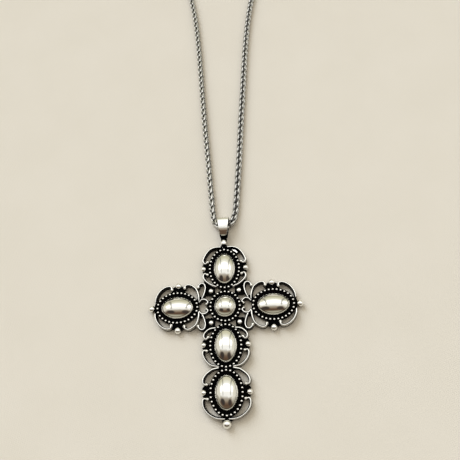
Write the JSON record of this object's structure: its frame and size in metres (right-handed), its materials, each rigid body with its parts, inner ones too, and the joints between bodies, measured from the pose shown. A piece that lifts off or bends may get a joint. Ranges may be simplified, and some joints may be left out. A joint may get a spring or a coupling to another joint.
{
  "type": "cross necklace",
  "caption": "Openwork silver cross with beaded rims and polished domes, hung by a tapered bail on a fine wheat chain laid out as a closed loop.",
  "frame": {"origin": "on the surface that the necklace lies on, under the middle of its box", "axes": "+Y from the cross's foot towards the clasp, +Z out of the front of the cross, +X to the right as seen from the front"},
  "size_m": [0.0584, 0.27, 0.0048],
  "materials": {
    "oxidised_silver": "cast silver, polished on its raised wires and beads, black oxide in the recesses",
    "dome_metal": "mirror polished warm silver",
    "bright_silver": "polished silver",
    "chain_silver": "polished silver wire with dark gaps between the links"
  },
  "bodies": {
    "root": {"cross_frame": "oxidised_silver", "cab_top": "dome_metal", "cab_left": "dome_metal", "cab_centre": "dome_metal", "cab_right": "dome_metal", "cab_lower": "dome_metal", "cab_bottom": "dome_metal", "jump_ring": "bright_silver", "bail": "bright_silver", "chain": "chain_silver", "clasp": "bright_silver"}
  },
  "joints": []
}
